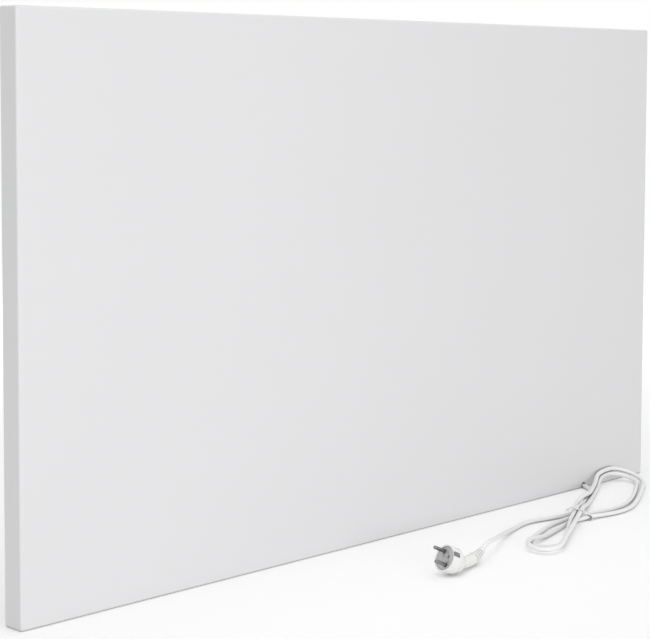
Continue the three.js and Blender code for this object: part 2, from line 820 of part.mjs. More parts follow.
const glandSealTop = boxBottom - seat;
const glandSealBottom = glandSealTop - 1.2;
const glandHexTop = glandSealBottom - seat;
const glandHexHeight = 6;
const glandCapTop = glandHexTop - glandHexHeight - seat;
const glandCapHeight = 11;
const sleeveTop = glandCapTop - glandCapHeight - seat;
const sleeveBottom = sleeveTop - sleeveLength;

function glandBody() {
  const flange = new THREE.CylinderGeometry(16 / Math.sqrt(3), 16 / Math.sqrt(3), glandHexHeight, 6);
  flange.rotateX(Math.PI / 2).rotateZ(Math.PI / 6).translate(0, 0, glandHexTop - glandHexHeight / 2);
  const thread = turned([
    [0, glandHexTop - 1],
    [glandThread / 2, glandHexTop - 1],
    [glandThread / 2, glandTop - 0.8],
    [glandThread / 2 - 0.8, glandTop],
    [0, glandTop],
  ], 16);
  return fused([flange, thread]);
}

function glandSeal() {
  const shape = new THREE.Shape();
  shape.absarc(0, 0, 8, 0, 2 * Math.PI);
  const hole = new THREE.Path();
  hole.absarc(0, 0, glandThread / 2 + slip, 0, 2 * Math.PI);
  shape.holes.push(hole);
  return prism(shape, glandSealBottom, glandSealTop, 8);
}

function glandCap() {
  const bottom = glandCapTop - glandCapHeight;
  return turned([
    [0, bottom],
    [5.6, bottom],
    [7.4, bottom + 2.5],
    [8.6, bottom + 5],
    [8.6, glandCapTop],
    [0, glandCapTop],
  ], 12);
}

// A tapered rubber sleeve with ribs, whose tip the lead leaves from.
function strainRelief() {
  const ribs = 6;
  const profile = [[0, sleeveTop], [5.4, sleeveTop]];
  const pitch = (sleeveLength - 6) / ribs;
  for (let i = 0; i < ribs; i += 1) {
    const top = sleeveTop - 3 - i * pitch;
    const radius = THREE.MathUtils.lerp(5.4, 4.3, (i + 1) / ribs);
    profile.push([radius, top], [radius - 0.9, top - 0.5]);
    profile.push([radius - 0.9, top - pitch * 0.45], [radius, top - pitch * 0.55]);
  }
  profile.push([4.1, sleeveBottom], [0, sleeveBottom]);
  return turned(profile.reverse(), 12);
}

const glandAxis = new THREE.Group();
glandAxis.position.set(boxCentreX, boxMiddle, 0);
heater.add(glandAxis);
addPart("gland_body", glandBody(), greyPlastic, glandAxis);
addPart("gland_seal", glandSeal(), blackRubber, glandAxis);
addPart("gland_cap", glandCap(), greyPlastic, glandAxis);
const lockNut = hexNut(13, glandThread + 2 * slip, 3);
addPart("gland_nut", lockNut.translate(0, 0, boxBottom + boxWall + seat), greyPlastic, glandAxis);
addPart("strain_relief", strainRelief(), whiteSheath, glandAxis);

// ---------------------------------------------------------------- the lead

// The lead's frame, which goes where the gland goes: x from the gland's axis, y from the front face,
// z from the floor.
const mains = new THREE.Group();
mains.position.x = boxCentreX;
heater.add(mains);

const floorZ = cordDiameter / 2 + 0.3;

// The hank's frame: its tie's place on the floor, a along its runs to the right, b across them.
const tieX = -155.5;
const tieY = -108;
const hankHeading = THREE.MathUtils.degToRad(29.08);

function onHank(a, b, z) {
  const x = tieX + a * Math.cos(hankHeading) - b * Math.sin(hankHeading);
  const y = tieY + a * Math.sin(hankHeading) + b * Math.cos(hankHeading);
  return new THREE.Vector3(x, y, z);
}

// Down from the strain relief, round to the floor, out of the slot and along to the hank.
const leadPoints = vectors([
  [0, 40.4, 45.3],
  [0, 40.4, 38.9],
  [0, 40.4, 34.4],
  [0, 39.3, 26.4],
  [0, 36.2, 18.9],
  [0, 31.3, 12.5],
  [0, 24.9, 7.6],
  [0, 17.4, 4.5],
  [-0.1, 9.4, 3.5],
  [-0.7, 4.2, 3.5],
  [-2.3, -1.4, 3.5],
  [-8.3, -12.8, 3.5],
  [-17.6, -24, 3.5],
  [-29.8, -33.4, 3.5],
  [-48, -43.8, 3.5],
  [-73.1, -57.8, 3.5],
  [-88.1, -66.2, 3.5],
  [-93.6, -69.3, 3.5],
]);

// From the hank along the floor to the plug's strain relief.
const tailPoints = vectors([
  [-218.9, -89.2, 3.4],
  [-225.1, -87.7, 3.4],
  [-242.5, -85.6, 3.4],
  [-264.3, -88.4, 3.4],
  [-284.5, -94.2, 3.6],
  [-300.5, -99.6, 4.2],
  [-316.1, -106, 5.6],
  [-338.5, -117.2, 8.6],
  [-359.9, -129.2, 12],
  [-376.5, -138.4, 15],
  [-390.5, -145.2, 16.2],
  [-404.5, -151.8, 18.2],
  [-418.5, -158.2, 19.8],
  [-427.5, -161, 19.5],
  [-433.9, -162.6, 17.6],
  [-439.4, -164, 15],
]);

// Heights that the strands take over two crossing strands and in the groove over a pair.
const crossingZ = 11.4;
const pairZ = 9.8;

// Each turn of the hank: the strand's side at the tie, its left fold, its way back under the bundle,
// and its right turn, which leans on the front panel.
const hankTurns = [
  {
    side: 4,
    fold: { a: -176, b: 22.6, radius: 22.4 },
    lowHeights: [7.4, 3.8, 3.4, 3.4],
    foldHeights: [3.4, 3.4, 3.4],
    upper: [[-152, 42.6, 3.4], [-112, 37, 3.4], [-76, 30.5, 3.4]],
    under: [
      [-46, 18, 3.7], [-22, 2.5, 4.6], [0, -12, 4], [21, -25, 3.4], [44, -40.5, 3.4],
      [66, -51.5, 3.4], [92, -58.4, 3.4], [122, -61.3, 3.4], [160, -61.4, 3.4],
    ],
    turn: { x: 58, radius: 24, top: 14.2 },
    backSide: -3.4,
    runHeight: floorZ,
  },
  {
    side: -3.4,
    fold: { a: -203, b: 19.6, radius: 22.4 },
    lowHeights: [11, 10.3, 10.1, 9.9],
    foldHeights: [9, 6.2, 10.2],
    upper: [[-188, 40.6, 10.8], [-172, 36, 8.6], [-152, 30.4, 5], [-118, 22, 3.4], [-84, 14.8, 3.4]],
    under: [
      [-60, 8.6, 3.6], [-41, -0.6, 4.1], [-20, -14, 4.6], [-1, -29, 3.9], [17, -43.5, 3.4],
      [38, -56.5, 3.4], [64, -65.2, 3.4], [98, -69, 3.5], [156, -69.8, 3.5],
    ],
    turn: { x: 63.5, radius: 27.6, top: 21.3 },
    backSide: 0.3,
    runHeight: pairZ,
  },
];

const foldSteps = 10;
const easeStep = 4;
const easeReach = 2;

// Off the pair, over the lead to its left side, and away past the tie to the tail.
const hankEnd = [
  [110, 0.4, 10.1], [94, 3.4, 11.2], [80, 7.9, 10.4], [66, 11.4, 6.8], [52, 12.2, 4], [30, 12, 3.4],
  [8, 12.2, 3.4], [-6, 15, 3.4], [-17, 21.6, 3.4], [-27, 30.2, 3.4], [-41.5, 42.9, 3.4], [-46, 47, 3.4],
];

function foldLow(turn, a) {
  const low = turn.fold.b - turn.fold.radius;
  return turn.side + (low - turn.side) * THREE.MathUtils.smoothstep(-a, 54, -turn.fold.a);
}

function leftFold(turn) {
  const { a, b, radius } = turn.fold;
  const [into, middle, out] = turn.foldHeights;
  const points = [];
  for (let i = 0; i <= foldSteps; i += 1) {
    const part = i / foldSteps;
    const angle = Math.PI * (1.5 - part);
    const z = part < 0.5
      ? THREE.MathUtils.lerp(into, middle, THREE.MathUtils.smoothstep(part, 0, 0.5))
      : THREE.MathUtils.lerp(middle, out, THREE.MathUtils.smoothstep(part, 0.5, 1));
    points.push(onHank(a + radius * Math.cos(angle), b + radius * Math.sin(angle), z));
  }
  return points;
}

// Round in front of the panel and up against its face.
function rightTurn(turn) {
  const { x, radius, top } = turn.turn;
  const faceY = -cordDiameter / 2 - 2 * seat;
  const points = [];
  for (let i = 0; i <= foldSteps; i += 1) {
    const part = i / foldSteps;
    const angle = THREE.MathUtils.degToRad(-58 + 148 * part);
    const z = floorZ + (top - floorZ) * THREE.MathUtils.smoothstep(part, -0.1, 1.05);
    const y = faceY - radius + radius * Math.sin(angle);
    points.push(new THREE.Vector3(x + radius * Math.cos(angle), y, z));
  }
  points.push(new THREE.Vector3(47.5, faceY - 0.3, top - 0.7));
  return points;
}

function hankPath() {
  const points = [
    onHank(72.5, 3.7, floorZ),
    onHank(66, 3.7, floorZ),
    onHank(52, 3.8, 4.6),
    onHank(30, 4, 8.4),
    onHank(10, 4, crossingZ - 0.2),
  ];
  hankTurns.forEach((turn, i) => {
    points.push(onHank(-8, turn.side, crossingZ), onHank(-32, turn.side, crossingZ));
    points.push(onHank(-54, turn.side, crossingZ - 0.4));
    [-78, -106, -134, -158].forEach((a, k) => points.push(onHank(a, foldLow(turn, a), turn.lowHeights[k])));
    points.push(...leftFold(turn));
    points.push(...turn.upper.map((point) => onHank(...point)));
    points.push(...turn.under.map((point) => onHank(...point)));
    points.push(...rightTurn(turn));
    const fall = turn.turn.top - turn.runHeight;
    const back = (a, part) => onHank(a, turn.backSide, turn.runHeight + fall * part);
    points.push(back(206, 0.7), back(188, 0.3), back(168, 0.06), back(140, 0));
    if (i < hankTurns.length - 1) {
      const rise = crossingZ - turn.runHeight;
      points.push(back(84, 0));
      points.push(...[[60, 0.16], [36, 0.58], [10, 0.98]].map(([a, part]) =>
        onHank(a, turn.backSide, turn.runHeight + rise * part)));
    }
  });
  points.push(...hankEnd.map((point) => onHank(...point)));
  return points;
}

// The least distance between the surfaces of two stretches that are not next to each other.
function leastSelfGap(curve) {
  const samples = 1600;
  const points = curve.getSpacedPoints(samples);
  const apart = Math.ceil((4 * cordDiameter * samples) / curve.getLength());
  let least = Infinity;
  for (let i = 0; i < points.length; i += 1) {
    for (let j = i + apart; j < points.length; j += 1) {
      least = Math.min(least, points[i].distanceTo(points[j]));
    }
  }
  return least - cordDiameter;
}

// The path as a stiff cord takes it: each point moves to the middle of its neighbourhood.
function eased(curve) {
  const points = curve.getSpacedPoints(Math.round(curve.getLength() / easeStep));
  return smooth(points.map((_, i) => {
    const reach = Math.min(easeReach, i, points.length - 1 - i);
    const near = points.slice(i - reach, i + reach + 1);
    return near.reduce((sum, point) => sum.add(point), new THREE.Vector3()).divideScalar(near.length);
  }));
}

const hankCurve = eased(smooth(hankPath()));
console.log(`cord_hank: ${hankCurve.getLength().toFixed(0)} mm, least gap to itself `
  + `${leastSelfGap(hankCurve).toFixed(2)} mm`);

addPart("cord_lead", tube(smooth(leadPoints), cordDiameter, 20, 8), whiteSheath, mains);
addPart("cord_hank", tube(hankCurve, cordDiameter, 150, 6), whiteSheath, mains);
addPart("cord_tail", tube(smooth(tailPoints), cordDiameter, 20, 8), whiteSheath, mains);

// ---------------------------------------------------------------- the tie round the hank

const tieAt = -20;
const tieWidth = 5;
const tieSheet = 0.5;
const tieReach = 18;

// The strands' places in the tie's plane, sampled over the tie's width.
function strandsInTie() {
  return hankCurve.getSpacedPoints(3000).flatMap((point) => {
    const dx = point.x - tieX;
    const dy = point.y - tieY;
    const a = dx * Math.cos(hankHeading) + dy * Math.sin(hankHeading);
    const b = dy * Math.cos(hankHeading) - dx * Math.sin(hankHeading);
    return Math.abs(a - tieAt) < tieWidth / 2 + 1.5 && Math.abs(b) < tieReach ? [[b, point.z]] : [];
  });
}

// The outline of a band drawn tight round the strands, at a distance from them.
function bandOutline(strands, distance) {
  const points = [];
  for (let i = 0; i < 32; i += 1) {
    const angle = (2 * Math.PI * i) / 32;
    const across = Math.cos(angle);
    const up = Math.sin(angle);
    const reach = Math.max(...strands.map(([b, z]) => b * across + z * up));
    const [b, z] = strands.find(([sb, sz]) => sb * across + sz * up > reach - 1e-9);
    points.push(new THREE.Vector2(b + distance * across, z + distance * up));
  }
  return points;
}

function cordTie() {
  const strands = strandsInTie();
  const clear = cordDiameter / 2 + 2 * seat;
  const band = new THREE.Shape(bandOutline(strands, clear + tieSheet));
  band.holes.push(new THREE.Path(bandOutline(strands, clear)));
  const ring = new THREE.ExtrudeGeometry(band, { depth: tieWidth, bevelEnabled: false });
  ring.rotateX(Math.PI / 2).rotateZ(Math.PI / 2).translate(tieAt - tieWidth / 2, 0, 0);
  return ring.rotateZ(hankHeading).translate(tieX, tieY, 0);
}

addPart("cord_tie", cordTie(), whitePlastic, mains);

// ---------------------------------------------------------------- the plug

// The plug's frame: x from the middle of its face back through its body, z up, pins one above the other.
const plug = new THREE.Group();
plug.position.set(-539.5, -179, 23.8);
plug.rotation.set(0, THREE.MathUtils.degToRad(16), THREE.MathUtils.degToRad(6), "ZYX");
mains.add(plug);

// The middle line of the body: straight through housing and neck, then bent up along the relief.
const neckEnd = plugHousing + plugShoulder + plugNeck;
const reliefLength = reliefRibs * reliefPitch + 34;
const reliefBend = THREE.MathUtils.degToRad(40);
const reliefTurn = THREE.MathUtils.degToRad(10);

function bodyPlace(along) {
  if (along <= neckEnd) {
    return { centre: new THREE.Vector3(along, 0, 0), up: 0, side: 0 };
  }
  const part = (along - neckEnd) / reliefLength;
  const steps = 24;
  const centre = new THREE.Vector3(neckEnd, 0, 0);
  for (let i = 0; i < steps; i += 1) {
    const here = ((i + 0.5) / steps) * part;
    const up = reliefBend * here;
    const side = reliefTurn * here;
    centre.x += (Math.cos(up) * Math.cos(side) * reliefLength * part) / steps;
    centre.y += (Math.cos(up) * Math.sin(side) * reliefLength * part) / steps;
    centre.z += (Math.sin(up) * reliefLength * part) / steps;
  }
  return { centre, up: reliefBend * part, side: reliefTurn * part };
}

function bodyRing(along, radius) {
  const { centre, up, side } = bodyPlace(along);
  const ring = [];
  for (let i = 0; i < 20; i += 1) {
    const angle = (2 * Math.PI * i) / 20;
    const point = new THREE.Vector3(0, radius * Math.cos(angle), radius * Math.sin(angle));
    point.applyAxisAngle(new THREE.Vector3(0, 1, 0), -up).applyAxisAngle(new THREE.Vector3(0, 0, 1), side);
    ring.push(point.add(centre));
  }
  return ring;
}

function plugBody() {
  const rings = [
    bodyRing(0, plugRadius - 1),
    bodyRing(1, plugRadius),
    bodyRing(plugHousing - 1.5, plugRadius),
    bodyRing(plugHousing, plugRadius - 1),
  ];
  for (let i = 1; i <= 6; i += 1) {
    const part = i / 6;
    const radius = plugRadius - 1 - (plugRadius - 1 - plugNeckRadius) * Math.sin((part * Math.PI) / 2) ** 1.2;
    rings.push(bodyRing(plugHousing + plugShoulder * part, radius));
  }
  rings.push(bodyRing(neckEnd, plugNeckRadius - 0.4));
  for (let i = 0; i < reliefRibs; i += 1) {
    const start = neckEnd + 1.5 + i * reliefPitch;
    const radius = THREE.MathUtils.lerp(plugNeckRadius - 0.6, reliefTipRadius + 0.9, i / (reliefRibs - 1));
    rings.push(bodyRing(start, radius), bodyRing(start + reliefPitch * 0.55, radius - 0.1));
    rings.push(bodyRing(start + reliefPitch * 0.62, radius - 1.2));
    rings.push(bodyRing(start + reliefPitch * 0.93, radius - 1.3));
  }
  rings.push(bodyRing(neckEnd + 1.5 + reliefRibs * reliefPitch, reliefTipRadius + 0.6));
  rings.push(bodyRing(neckEnd + reliefLength, reliefTipRadius));
  const recess = new THREE.CylinderGeometry(plugRadius - 3, plugRadius - 3, 12, 24);
  recess.rotateZ(Math.PI / 2).rotateX(plugRoll);
  const channels = [-1, 1].map((side) =>
    block(-1, side * 17.6 - 1.6, -3.4, plugHousing - 4, side * 17.6 + 1.6, 3.4).rotateX(plugRoll));
  return cut(skin(rings), [recess, ...channels]);
}

// The round carrier in the plug's face, with the pins' holes and the earth hole.
function plugInsert() {
  const carrier = new THREE.CylinderGeometry(plugRadius - 3 - seat, plugRadius - 3 - seat, 5, 24);
  carrier.rotateZ(Math.PI / 2).translate(3.2, 0, 0);
  const pinHoles = [-1, 1].map((end) =>
    alongPlug(pinDiameter + 2 * slip, -1, 4.6, 0, (end * pinSpacing) / 2, 12));
  const earthHole = alongPlug(5, -1, 4.6, -6.5, 0, 12);
  return cut(carrier, [...pinHoles, earthHole]);
}

function alongPlug(diameter, start, end, y, z, sides) {
  const cylinder = new THREE.CylinderGeometry(diameter / 2, diameter / 2, end - start, sides);
  return cylinder.rotateZ(Math.PI / 2).translate((start + end) / 2, y, z);
}

function plugPin(end) {
  const radius = pinDiameter / 2;
  const tip = 0.7 - pinLength;
  const profile = [[0, tip], [radius * 0.7, tip + 0.5], [radius, tip + 2], [radius, 4.2], [0, 4.2]];
  const pin = new THREE.LatheGeometry(flatPoints(profile), 12);
  return pin.rotateZ(-Math.PI / 2).translate(0, 0, (end * pinSpacing) / 2);
}

// A springy strip in the housing's side channel, bowed outwards a little.
function earthContact(side) {
  const strip = new THREE.Shape(flatPoints([
    [0.4, side * 16.4],
    [14.5, side * 16.4],
    [15.6, side * 16.9],
    [14.5, side * 17.5],
    [8, side * 18.2],
    [1.2, side * 17.5],
    [0.4, side * 17],
  ]));
  return new THREE.ExtrudeGeometry(strip, { depth: 5.6, bevelEnabled: false }).translate(0, 0, -2.8);
}

const plugFace = new THREE.Group();
plugFace.rotation.x = plugRoll;
plug.add(plugFace);
addPart("plug_body", plugBody(), whitePlastic, plug);
addPart("plug_insert", plugInsert(), greyPlastic, plugFace);
addPart("live_pin", plugPin(1), brightSteel, plugFace);
addPart("neutral_pin", plugPin(-1), brightSteel, plugFace);
addPart("earth_contact_left", earthContact(1), brightSteel, plugFace);
addPart("earth_contact_right", earthContact(-1), brightSteel, plugFace);

export default model;
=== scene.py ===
import json
import math

import bmesh
import bpy
from mathutils import Matrix, Vector


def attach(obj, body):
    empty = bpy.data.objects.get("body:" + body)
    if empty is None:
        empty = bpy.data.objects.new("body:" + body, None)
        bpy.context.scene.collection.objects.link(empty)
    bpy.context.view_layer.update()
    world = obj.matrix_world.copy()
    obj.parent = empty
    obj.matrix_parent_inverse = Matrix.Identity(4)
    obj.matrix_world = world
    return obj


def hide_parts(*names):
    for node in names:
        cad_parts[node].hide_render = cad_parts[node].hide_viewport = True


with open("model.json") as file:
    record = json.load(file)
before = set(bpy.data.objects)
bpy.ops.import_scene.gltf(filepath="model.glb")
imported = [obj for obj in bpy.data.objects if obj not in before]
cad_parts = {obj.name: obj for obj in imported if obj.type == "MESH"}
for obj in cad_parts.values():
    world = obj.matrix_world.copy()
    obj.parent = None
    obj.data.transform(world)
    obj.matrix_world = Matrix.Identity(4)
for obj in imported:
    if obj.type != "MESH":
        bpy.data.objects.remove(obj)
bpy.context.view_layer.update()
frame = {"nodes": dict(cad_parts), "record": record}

# ---------------------------------------------------------------- sizes and places

MM = 0.001
PANEL_WIDTH = 1200
WALL_PLANE = 56.1
CORD = 6.4


def place(x, y, z):
    """A point in mm (x from the heater's left edge, y back from its front, z up), in metres."""
    return Vector(((x - PANEL_WIDTH / 2) * MM, (y - WALL_PLANE / 2) * MM, z * MM))


# ---------------------------------------------------------------- camera

CAMERA_AT = (-1190.9, -1648.75, 615.2)
CAMERA_YAW = 45.427
CAMERA_PITCH = 4.1
CAMERA_ROLL = 0.2035
FOCAL_PIXELS = 1824.3
PICTURE = (650, 639)
HORIZON_SHIFT_PIXELS = -105.3
SENSOR = 36
CLIP_START = 0.05
CLIP_END = 60


def make_camera():
    data = bpy.data.cameras.new("camera")
    camera = bpy.data.objects.new("camera", data)
    bpy.context.scene.collection.objects.link(camera)
    data.sensor_fit = "HORIZONTAL"
    data.sensor_width = SENSOR
    data.lens = FOCAL_PIXELS * SENSOR / PICTURE[0]
    data.shift_y = HORIZON_SHIFT_PIXELS / PICTURE[0]
    data.clip_start = CLIP_START
    data.clip_end = CLIP_END
    turn = Matrix.Rotation(math.radians(-CAMERA_YAW), 3, "Z")
    tilt = Matrix.Rotation(math.radians(90 - CAMERA_PITCH), 3, "X")
    roll = Matrix.Rotation(math.radians(CAMERA_ROLL), 3, "Z")
    camera.matrix_world = Matrix.Translation(place(*CAMERA_AT)) @ (turn @ tilt @ roll).to_4x4()
    bpy.context.scene.camera = camera


make_camera()

# ---------------------------------------------------------------- curves through points

DENSE_STEP = 0.4


def smooth_line(points, spacing):
    """A centripetal Catmull-Rom curve through points, sampled evenly."""
    points = [Vector(p) for p in points]
    points = [2 * points[0] - points[1], *points, 2 * points[-1] - points[-2]]
    dense = []
    for p0, p1, p2, p3 in zip(points, points[1:], points[2:], points[3:]):
        t0, t1, t2 = (math.sqrt((b - a).length) for a, b in ((p0, p1), (p1, p2), (p2, p3)))
        start = ((p1 - p0) / t0 - (p2 - p0) / (t0 + t1) + (p2 - p1) / t1) * t1
        end = ((p2 - p1) / t1 - (p3 - p1) / (t1 + t2) + (p3 - p2) / t2) * t1
        steps = max(2, int((p2 - p1).length / DENSE_STEP))
        for i in range(steps):
            t = i / steps
            bend = -3 * p1 + 3 * p2 - 2 * start - end
            twist = 2 * p1 - 2 * p2 + start + end
            dense.append(p1 + start * t + bend * t ** 2 + twist * t ** 3)
    dense.append(points[-2])
    return respaced(dense, spacing)


def respaced(line, spacing):
    lengths = [0.0]
    for a, b in zip(line, line[1:]):
        lengths.append(lengths[-1] + (b - a).length)
    count = max(2, round(lengths[-1] / spacing))
    out, k = [], 0
    for i in range(count + 1):
        want = lengths[-1] * i / count
        while k < len(line) - 2 and lengths[k + 1] < want:
            k += 1
        span = lengths[k + 1] - lengths[k]
        out.append(line[k].lerp(line[k + 1], (want - lengths[k]) / span if span else 0))
    return out


def length_of(line):
    return sum((b - a).length for a, b in zip(line, line[1:]))


# ---------------------------------------------------------------- the lead's route, as in the CAD

LEAD = [
    (1048.5, 40.4, 45.3), (1048.5, 40.4, 38.9), (1048.5, 40.4, 34.4), (1048.5, 39.3, 26.4),
    (1048.5, 36.2, 18.9), (1048.5, 31.3, 12.5), (1048.5, 24.9, 7.6), (1048.5, 17.4, 4.5),
    (1048.4, 9.4, 3.5), (1047.8, 4.2, 3.5), (1046.2, -1.4, 3.5), (1040.2, -12.8, 3.5),
    (1030.9, -24, 3.5), (1018.7, -33.4, 3.5), (1000.5, -43.8, 3.5), (975.4, -57.8, 3.5),
    (960.4, -66.2, 3.5), (954.9, -69.3, 3.5),
]
TAIL = [
    (829.6, -89.2, 3.4), (823.4, -87.7, 3.4), (806, -85.6, 3.4), (784.2, -88.4, 3.4),
    (764, -94.2, 3.6), (748, -99.6, 4.2), (732.4, -106, 5.6), (710, -117.2, 8.6),
    (688.6, -129.2, 12), (672, -138.4, 15), (658, -145.2, 16.2), (644, -151.8, 18.2),
    (630, -158.2, 19.8), (621, -161, 19.5), (614.6, -162.6, 17.6), (609.1, -164, 15),
]

FLOOR_Z = CORD / 2 + 0.3
CROSSING_Z = 11.4
PAIR_Z = 9.8
TIE_X, TIE_Y = 893, -108
HEADING = math.radians(29.08)
FOLD_STEPS = 10
EASE_STEP = 4
EASE_REACH = 2
CORD_STEP = 3
FACE_Y = -CORD / 2 - 0.6
TURN_FROM = -58
TURN_SWEEP = 148
TURN_END_X = 1096

HANK_START = [
    (72.5, 3.7, FLOOR_Z), (66, 3.7, FLOOR_Z), (52, 3.8, 4.6), (30, 4, 8.4),
    (10, 4, CROSSING_Z - 0.2),
]
CROSSING_RUN = ((-8, 0), (-32, 0), (-54, -0.4))
LOW_RUN = (-78, -106, -134, -158)
LOW_RUN_FROM = 54
BACK_RUN = ((206, 0.7), (188, 0.3), (168, 0.06), (140, 0))
RISE_RUN = ((84, 0), (60, 0.16), (36, 0.58), (10, 0.98))

HANK_TURNS = [
    dict(
        side=4, fold=(-176, 22.6, 22.4),
        low_heights=(7.4, 3.8, 3.4, 3.4), fold_heights=(3.4, 3.4, 3.4),
        upper=[(-152, 42.6, 3.4), (-112, 37, 3.4), (-76, 30.5, 3.4)],
        under=[(-46, 18, 3.7), (-22, 2.5, 4.6), (0, -12, 4), (21, -25, 3.4), (44, -40.5, 3.4),
               (66, -51.5, 3.4), (92, -58.4, 3.4), (122, -61.3, 3.4), (160, -61.4, 3.4)],
        turn=(1106.5, 24, 14.2), back_side=-3.4, run_height=FLOOR_Z,
    ),
    dict(
        side=-3.4, fold=(-202.2, 19.6, 22.4),
        low_heights=(11, 10.3, 10.1, 9.9), fold_heights=(9, 6.2, 10.2),
        upper=[(-188, 40.6, 10.8), (-172, 36, 8.6), (-152, 30.4, 5), (-118, 22, 3.4),
               (-84, 14.8, 3.4)],
        under=[(-60, 8.6, 3.6), (-41, -0.6, 4.1), (-20, -14, 4.6), (-1, -29, 3.9), (17, -43.5, 3.4),
               (38, -56.5, 3.4), (64, -65.2, 3.4), (98, -69, 3.5), (156, -69.8, 3.5)],
        turn=(1112, 27.6, 21.3), back_side=0.3, run_height=PAIR_Z,
    ),
]
HANK_END = [
    (110, 0.4, 10.1), (94, 3.4, 11.2), (80, 7.9, 10.4), (66, 11.4, 6.8), (52, 12.2, 4),
    (30, 12, 3.4), (8, 12.2, 3.4), (-6, 15, 3.4), (-17, 21.6, 3.4), (-27, 30.2, 3.4),
    (-41.5, 42.9, 3.4), (-46, 47, 3.4),
]


def on_hank(a, b, z):
    return Vector((
        TIE_X + a * math.cos(HEADING) - b * math.sin(HEADING),
        TIE_Y + a * math.sin(HEADING) + b * math.cos(HEADING), z))


def smoothstep(x, low, high):
    t = min(max((x - low) / (high - low), 0), 1)
    return t * t * (3 - 2 * t)


def hank_path():
    points = [on_hank(*p) for p in HANK_START]
    for number, turn in enumerate(HANK_TURNS):
        side = turn["side"]
        points += [on_hank(a, side, CROSSING_Z + lift) for a, lift in CROSSING_RUN]
        fold_a, fold_b, radius = turn["fold"]
        for a, z in zip(LOW_RUN, turn["low_heights"]):
            low = side + (fold_b - radius - side) * smoothstep(-a, LOW_RUN_FROM, -fold_a)
            points.append(on_hank(a, low, z))
        into, middle, out = turn["fold_heights"]
        for i in range(FOLD_STEPS + 1):
            part = i / FOLD_STEPS
            angle = math.pi * (1.5 - part)
            z = (into + (middle - into) * smoothstep(part, 0, 0.5) if part < 0.5
                 else middle + (out - middle) * smoothstep(part, 0.5, 1))
            points.append(on_hank(
                fold_a + radius * math.cos(angle), fold_b + radius * math.sin(angle), z))
        points += [on_hank(*p) for p in turn["upper"] + turn["under"]]
        x, radius, top = turn["turn"]
        for i in range(FOLD_STEPS + 1):
            part = i / FOLD_STEPS
            angle = math.radians(TURN_FROM + TURN_SWEEP * part)
            z = FLOOR_Z + (top - FLOOR_Z) * smoothstep(part, -0.1, 1.05)
            points.append(Vector((
                x + radius * math.cos(angle), FACE_Y - radius + radius * math.sin(angle), z)))
        points.append(Vector((TURN_END_X, FACE_Y - 0.3, top - 0.7)))
        run = turn["run_height"]
        back_side = turn["back_side"]
        points += [on_hank(a, back_side, run + (top - run) * part)
                   for a, part in BACK_RUN]
        if number < len(HANK_TURNS) - 1:
            points += [on_hank(a, back_side, run + (CROSSING_Z - run) * part)
                       for a, part in RISE_RUN]
    return points + [on_hank(*p) for p in HANK_END]


def eased(points):
    line = smooth_line(points, EASE_STEP)
    out = []
    for i in range(len(line)):
        reach = min(EASE_REACH, i, len(line) - 1 - i)
        near = line[i - reach:i + reach + 1]
        out.append(sum(near, Vector()) / len(near))
    return out


def cord_line():
    hank = smooth_line(eased(hank_path()), CORD_STEP)
    whole = smooth_line(LEAD, CORD_STEP) + hank + smooth_line(TAIL, CORD_STEP)
    return respaced(whole, CORD_STEP)


# ---------------------------------------------------------------- materials

GLOSS_DRIFT = 0.12
GRAIN_DEPTH = 0.0004
CREASE_SHADE_SAMPLES = 16
CREASE_SHADE_DARK, CREASE_SHADE_OPEN = 0.15, 0.85


